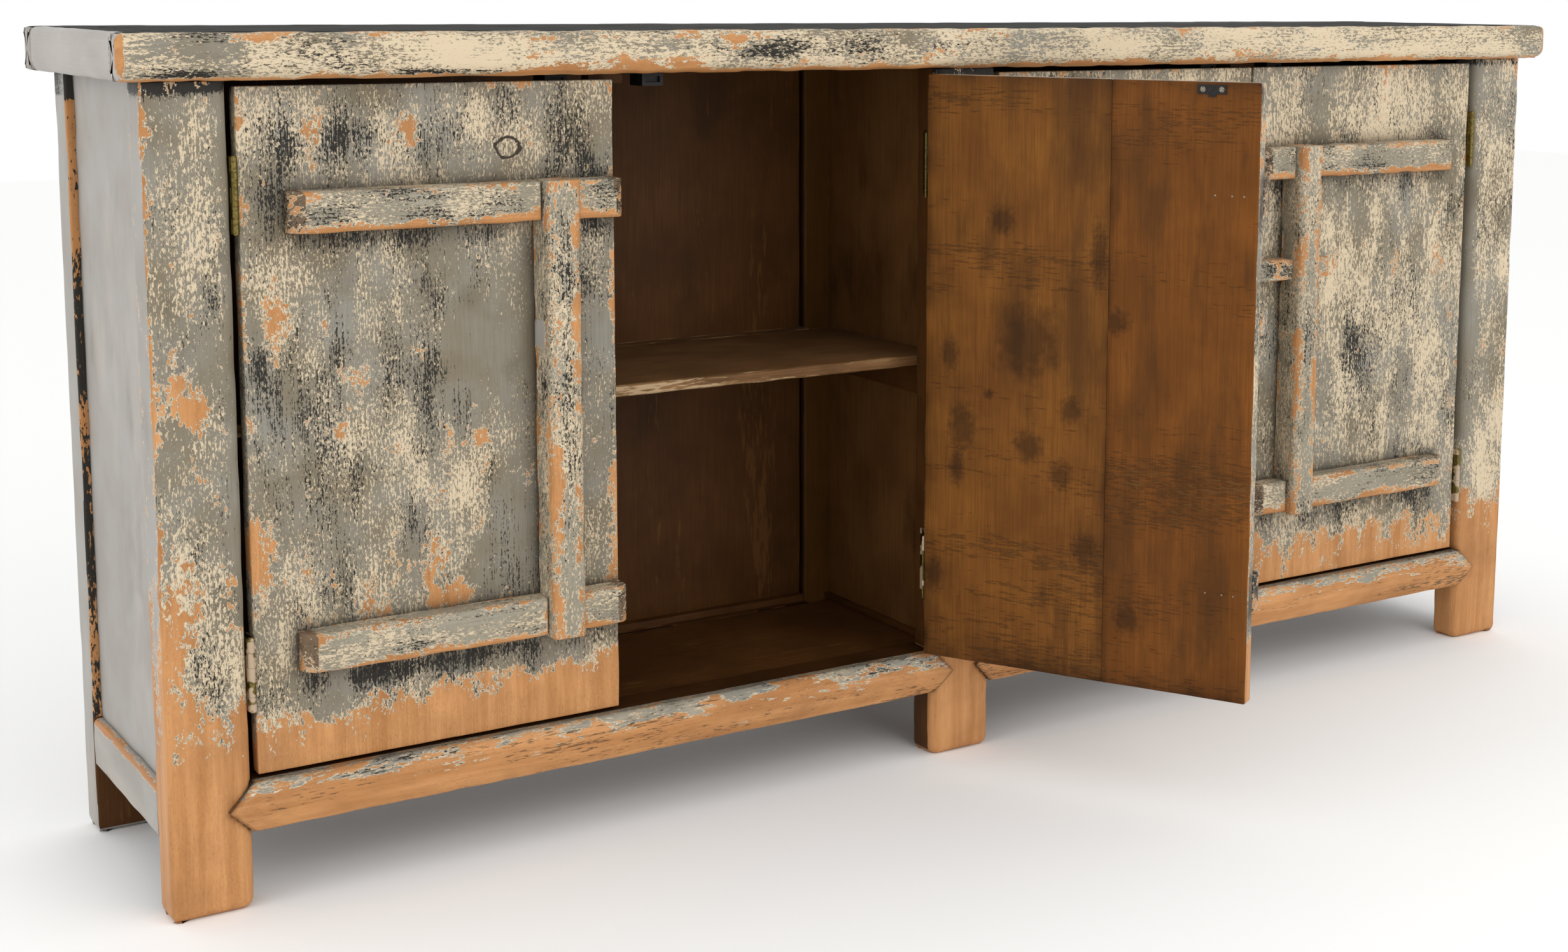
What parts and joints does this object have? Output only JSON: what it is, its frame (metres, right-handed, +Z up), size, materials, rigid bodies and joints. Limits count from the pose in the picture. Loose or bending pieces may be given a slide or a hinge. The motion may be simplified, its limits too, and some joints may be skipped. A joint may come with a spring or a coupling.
{
  "type": "sideboard buffet",
  "caption": "Long low wooden sideboard with hinged board doors in two pairs, sliding cross bolts, a shelf in each bay and post legs, its paint worn through to the wood.",
  "frame": {"origin": "on the floor under the centre front foot, in the middle of that post's width and thickness", "axes": "+X along the width to the right, the doors face -Y, +Z up"},
  "size_m": [2, 0.7336, 0.9],
  "materials": {
    "worn_paint": "grey paint over cream, worn through to pine, satin",
    "side_paint": "pale grey paint, satin",
    "bare_pine": "bare pine with traces of paint",
    "dark_top": "charcoal paint, satin",
    "stained_wood": "dark brown stain, satin",
    "hinge_brass": "aged brass",
    "black_metal": "black"
  },
  "bodies": {
    "carcass": {"top_front_board": "worn_paint", "top_back_board": "worn_paint", "top_left_end_board": "side_paint", "top_right_end_board": "side_paint", "top_centre_boards": "dark_top", "front_post_left": "worn_paint", "front_post_centre": "bare_pine", "front_post_right": "worn_paint", "back_post_left": "side_paint", "back_post_centre": "stained_wood", "back_post_right": "side_paint", "front_rail_left": "bare_pine", "front_rail_right": "bare_pine", "side_rail_left": "side_paint", "side_rail_right": "side_paint", "back_rail_left": "stained_wood", "back_rail_right": "stained_wood", "side_panel_left": "side_paint", "side_panel_right": "side_paint", "back_panel_left": "stained_wood", "back_panel_right": "stained_wood", "floor_panel_left": "stained_wood", "floor_panel_right": "stained_wood", "centre_partition": "stained_wood", "partition_strips": "stained_wood", "shelf_left": "stained_wood", "shelf_right": "stained_wood", "shelf_cleats": "stained_wood", "door_stop_blocks": "stained_wood", "door_catches": "black_metal", "hinge_post_leaves": "hinge_brass", "hinge_pins": "hinge_brass"},
    "door_1": {"door_1_wide_board": "worn_paint", "door_1_narrow_board": "worn_paint", "door_1_cross_battens": "worn_paint", "door_1_upright_batten": "worn_paint", "door_1_bolt_plug": "bare_pine", "door_1_hinge_leaves": "hinge_brass", "door_1_strike": "black_metal"},
    "door_2": {"door_2_wide_board": "worn_paint", "door_2_narrow_board": "worn_paint", "door_2_cross_battens": "worn_paint", "door_2_upright_batten": "worn_paint", "door_2_hinge_leaves": "hinge_brass", "door_2_strike": "black_metal"},
    "door_3": {"door_3_wide_board": "worn_paint", "door_3_narrow_board": "worn_paint", "door_3_cross_battens": "worn_paint", "door_3_upright_batten": "worn_paint", "door_3_bolt_plug": "bare_pine", "door_3_hinge_leaves": "hinge_brass", "door_3_strike": "black_metal"},
    "door_4": {"door_4_wide_board": "worn_paint", "door_4_narrow_board": "worn_paint", "door_4_cross_battens": "worn_paint", "door_4_upright_batten": "worn_paint", "door_4_hinge_leaves": "hinge_brass", "door_4_strike": "black_metal"},
    "bolt_left": {"cross_bolt_left": "worn_paint"},
    "bolt_right": {"cross_bolt_right": "worn_paint"}
  },
  "joints": [
    {"name": "door_1_hinge", "type": "hinge", "parent": "carcass", "child": "door_1", "pos_m": [-0.885, -0.018, 0], "axis": [0, 0, 1], "range_deg": [-145, 0]},
    {"name": "door_2_hinge", "type": "hinge", "parent": "carcass", "child": "door_2", "pos_m": [-0.048, -0.018, 0], "axis": [0, 0, 1], "range_deg": [-118.6, 26.4]},
    {"name": "door_3_hinge", "type": "hinge", "parent": "carcass", "child": "door_3", "pos_m": [0.048, -0.018, 0], "axis": [0, 0, 1], "range_deg": [-60, 0]},
    {"name": "door_4_hinge", "type": "hinge", "parent": "carcass", "child": "door_4", "pos_m": [0.885, -0.018, 0], "axis": [0, 0, 1], "range_deg": [0, 145]},
    {"name": "bolt_left_slide", "type": "slide", "parent": "door_2", "child": "bolt_left", "axis": [0.4787, -0.878, 0], "range_m": [0, 0.035]},
    {"name": "bolt_right_slide", "type": "slide", "parent": "door_4", "child": "bolt_right", "axis": [-1, 0, 0], "range_m": [0, 0.035]}
  ]
}
